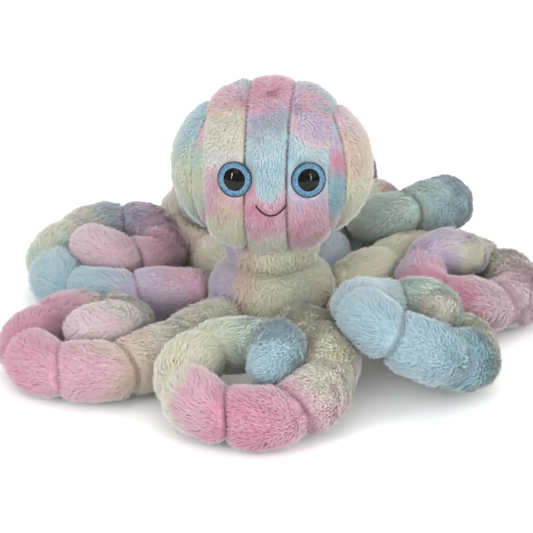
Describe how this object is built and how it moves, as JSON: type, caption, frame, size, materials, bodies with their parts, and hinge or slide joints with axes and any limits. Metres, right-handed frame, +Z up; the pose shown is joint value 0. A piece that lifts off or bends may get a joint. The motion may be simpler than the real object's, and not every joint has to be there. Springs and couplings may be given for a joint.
{
  "type": "plush octopus",
  "caption": "Plush octopus with curled, stitched arms, a panelled head on a soft neck, glossy domed eyes and a stitched smile.",
  "frame": {"origin": "centre of the base panel's underside, on the surface that the toy stands on", "axes": "+Z up, -Y the way the toy faces, +X to the viewer's right when the viewer looks at its face"},
  "size_m": [0.5365, 0.6559, 0.264],
  "materials": {
    "plush": "long soft pile, tie-dyed in pastel pink, blue, mint, lilac and cream",
    "sole_fabric": "short pale pile",
    "stuffing": "loose white fibre",
    "thread": "satin sewing thread",
    "clear_lens": "clear glossy dome",
    "glitter_iris": "blue glitter under a clear coat",
    "black_plastic": "glossy",
    "white_plastic": "matte"
  },
  "bodies": {
    "body": {"base_panel": "sole_fabric", "body_filling": "stuffing", "body_collar": "plush", "arm_front_root": "plush", "arm_front_left_root": "plush", "arm_left_root": "plush", "arm_back_left_root": "plush", "arm_back_root": "plush", "arm_back_right_root": "plush", "arm_right_root": "plush", "arm_front_right_root": "plush"},
    "neck": {"neck_filling": "stuffing"},
    "head": {"head_filling": "stuffing", "head_strip_left": "plush", "head_strip_centre": "plush", "head_strip_right": "plush", "head_gusset_left": "plush", "head_gusset_right": "plush", "head_side_left": "plush", "head_side_right": "plush", "eye_lens_left": "clear_lens", "eye_lens_right": "clear_lens", "eye_iris_left": "glitter_iris", "eye_iris_right": "glitter_iris", "eye_pupil_left": "black_plastic", "eye_pupil_right": "black_plastic", "eye_post_left": "black_plastic", "eye_post_right": "black_plastic", "eye_washer_left": "white_plastic", "eye_washer_right": "white_plastic", "smile_stitching": "thread"},
    "arm_front_curl": {"arm_front_curl": "plush"},
    "arm_front_tip": {"arm_front_tip": "plush"},
    "arm_front_left_curl": {"arm_front_left_curl": "plush"},
    "arm_front_left_tip": {"arm_front_left_tip": "plush"},
    "arm_left_curl": {"arm_left_curl": "plush"},
    "arm_left_tip": {"arm_left_tip": "plush"},
    "arm_back_left_curl": {"arm_back_left_curl": "plush"},
    "arm_back_left_tip": {"arm_back_left_tip": "plush"},
    "arm_back_curl": {"arm_back_curl": "plush"},
    "arm_back_tip": {"arm_back_tip": "plush"},
    "arm_back_right_curl": {"arm_back_right_curl": "plush"},
    "arm_back_right_tip": {"arm_back_right_tip": "plush"},
    "arm_right_curl": {"arm_right_curl": "plush"},
    "arm_right_tip": {"arm_right_tip": "plush"},
    "arm_front_right_curl": {"arm_front_right_curl": "plush"},
    "arm_front_right_tip": {"arm_front_right_tip": "plush"}
  },
  "joints": [
    {"name": "head_turn", "type": "hinge", "parent": "body", "child": "neck", "pos_m": [0, 0.006, 0.088], "axis": [0, 0, 1], "range_deg": [-25, 25], "stiffness_Nm_per_rad": 0.6},
    {"name": "head_nod", "type": "hinge", "parent": "neck", "child": "head", "pos_m": [0, 0.006, 0.088], "axis": [0.9962, -0.0872, 0], "range_deg": [-12, 18], "stiffness_Nm_per_rad": 1.6},
    {"name": "arm_front_uncurl", "type": "hinge", "parent": "body", "child": "arm_front_curl", "pos_m": [0.0482, -0.2024, 0.0391], "axis": [0.0079, -0.2248, 0.9744], "range_deg": [0, 25], "stiffness_Nm_per_rad": 0.3, "springref_deg": -17.19},
    {"name": "arm_front_tip_lift", "type": "hinge", "parent": "arm_front_curl", "child": "arm_front_tip", "pos_m": [-0.0618, -0.1605, 0.0497], "axis": [0.622, -0.7619, -0.1808], "range_deg": [0, 32], "stiffness_Nm_per_rad": 0.12, "springref_deg": -14.32},
    {"name": "arm_front_left_uncurl", "type": "hinge", "parent": "body", "child": "arm_front_left_curl", "pos_m": [-0.1401, -0.1567, 0.03], "axis": [-0.0604, -0.0349, 0.9976], "range_deg": [0, 25], "stiffness_Nm_per_rad": 0.3, "springref_deg": -17.19},
    {"name": "arm_front_left_tip_lift", "type": "hinge", "parent": "arm_front_left_curl", "child": "arm_front_left_tip", "pos_m": [-0.1681, -0.0418, 0.0323], "axis": [-0.2823, -0.958, -0.0506], "range_deg": [0, 32], "stiffness_Nm_per_rad": 0.12, "springref_deg": -14.32},
    {"name": "arm_left_uncurl", "type": "hinge", "parent": "body", "child": "arm_left_curl", "pos_m": [-0.2015, 0.0424, 0.025], "axis": [-0.1147, -0.1836, 0.9763], "range_deg": [0, 25], "stiffness_Nm_per_rad": 0.3, "springref_deg": -17.19},
    {"name": "arm_left_tip_lift", "type": "hinge", "parent": "arm_left_curl", "child": "arm_left_tip", "pos_m": [-0.1173, 0.1217, 0.0498], "axis": [-0.9634, -0.2193, -0.1544], "range_deg": [0, 32], "stiffness_Nm_per_rad": 0.12, "springref_deg": -14.32},
    {"name": "arm_back_left_uncurl", "type": "hinge", "parent": "body", "child": "arm_back_left_curl", "pos_m": [-0.0977, 0.1943, 0.0259], "axis": [-0.596, -0.2408, 0.766], "range_deg": [0, 25], "stiffness_Nm_per_rad": 0.3, "springref_deg": -17.19},
    {"name": "arm_back_left_tip_lift", "type": "hinge", "parent": "arm_back_left_curl", "child": "arm_back_left_tip", "pos_m": [-0.0029, 0.1799, 0.0951], "axis": [-0.7175, 0.588, -0.3734], "range_deg": [0, 32], "stiffness_Nm_per_rad": 0.12, "springref_deg": -14.32},
    {"name": "arm_back_uncurl", "type": "hinge", "parent": "body", "child": "arm_back_curl", "pos_m": [-0.0305, 0.2946, 0.0266], "axis": [-0.3265, -0.0694, 0.9426], "range_deg": [0, 25], "stiffness_Nm_per_rad": 0.3, "springref_deg": -17.19},
    {"name": "arm_back_tip_lift", "type": "hinge", "parent": "arm_back_curl", "child": "arm_back_tip", "pos_m": [0.074, 0.2499, 0.0595], "axis": [-0.5951, 0.7899, -0.148], "range_deg": [0, 32], "stiffness_Nm_per_rad": 0.12, "springref_deg": -14.32},
    {"name": "arm_back_right_uncurl", "type": "hinge", "parent": "body", "child": "arm_back_right_curl", "pos_m": [0.0805, 0.2071, 0.0264], "axis": [-0.2693, 0.3846, 0.8829], "range_deg": [0, 25], "stiffness_Nm_per_rad": 0.3, "springref_deg": -17.19},
    {"name": "arm_back_right_tip_lift", "type": "hinge", "parent": "arm_back_right_curl", "child": "arm_back_right_tip", "pos_m": [0.1448, 0.1248, 0.0818], "axis": [-0.0712, 0.9064, -0.4165], "range_deg": [0, 32], "stiffness_Nm_per_rad": 0.12, "springref_deg": -14.32},
    {"name": "arm_right_uncurl", "type": "hinge", "parent": "body", "child": "arm_right_curl", "pos_m": [0.1769, 0.1084, 0.0359], "axis": [0.1378, 0.0194, 0.9903], "range_deg": [0, 25], "stiffness_Nm_per_rad": 0.3, "springref_deg": -17.19},
    {"name": "arm_right_tip_lift", "type": "hinge", "parent": "arm_right_curl", "child": "arm_right_tip", "pos_m": [0.1702, -0.0097, 0.0392], "axis": [0.5453, 0.8331, -0.0922], "range_deg": [0, 32], "stiffness_Nm_per_rad": 0.12, "springref_deg": -14.32},
    {"name": "arm_front_right_uncurl", "type": "hinge", "parent": "body", "child": "arm_front_right_curl", "pos_m": [0.1716, -0.0731, 0.0281], "axis": [0.4119, 0.1499, 0.8988], "range_deg": [0, 25], "stiffness_Nm_per_rad": 0.3, "springref_deg": -17.19},
    {"name": "arm_front_right_tip_lift", "type": "hinge", "parent": "arm_front_right_curl", "child": "arm_front_right_tip", "pos_m": [0.082, -0.1311, 0.0789], "axis": [0.9094, -0.0064, -0.4158], "range_deg": [0, 32], "stiffness_Nm_per_rad": 0.12, "springref_deg": -14.32}
  ]
}
